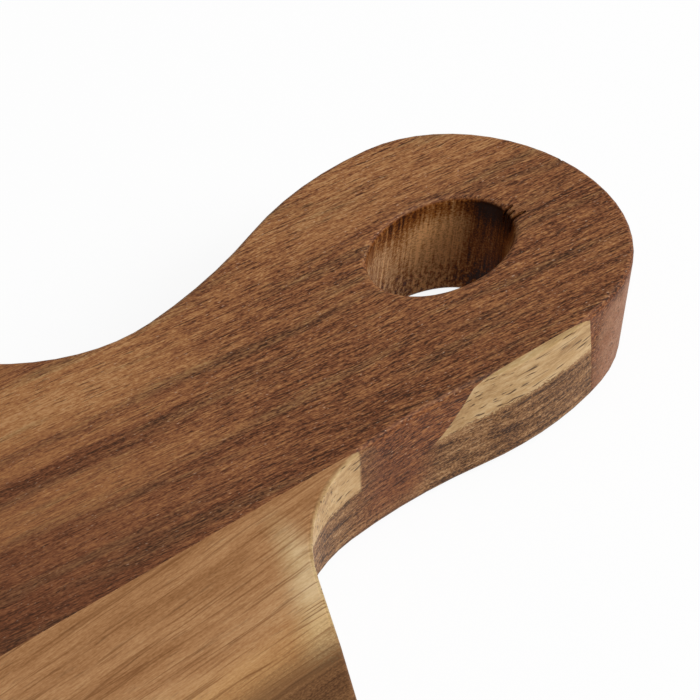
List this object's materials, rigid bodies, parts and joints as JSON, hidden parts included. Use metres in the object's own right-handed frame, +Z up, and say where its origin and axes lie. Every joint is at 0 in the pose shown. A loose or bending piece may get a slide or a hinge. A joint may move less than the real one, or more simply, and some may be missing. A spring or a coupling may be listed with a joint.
{
  "type": "paddle serving board",
  "caption": "Paddle-shaped wooden serving board of edge-glued staves, with eased edges, sloping shoulders and a round-ended handle pierced by an oval hanging hole.",
  "frame": {"origin": "underside of the board, below the middle of its length and width", "axes": "+X along the handle to its tip, +Y across the board, +Z up out of the serving face"},
  "size_m": [0.43, 0.18, 0.018],
  "materials": {
    "dark_heartwood": "oiled satin",
    "pale_wood": "oiled satin",
    "mid_wood": "oiled satin",
    "brown_wood": "oiled satin"
  },
  "bodies": {
    "root": {"handle_stave": "dark_heartwood", "near_stave": "pale_wood", "rim_stave": "mid_wood", "far_stave": "brown_wood"}
  },
  "joints": []
}
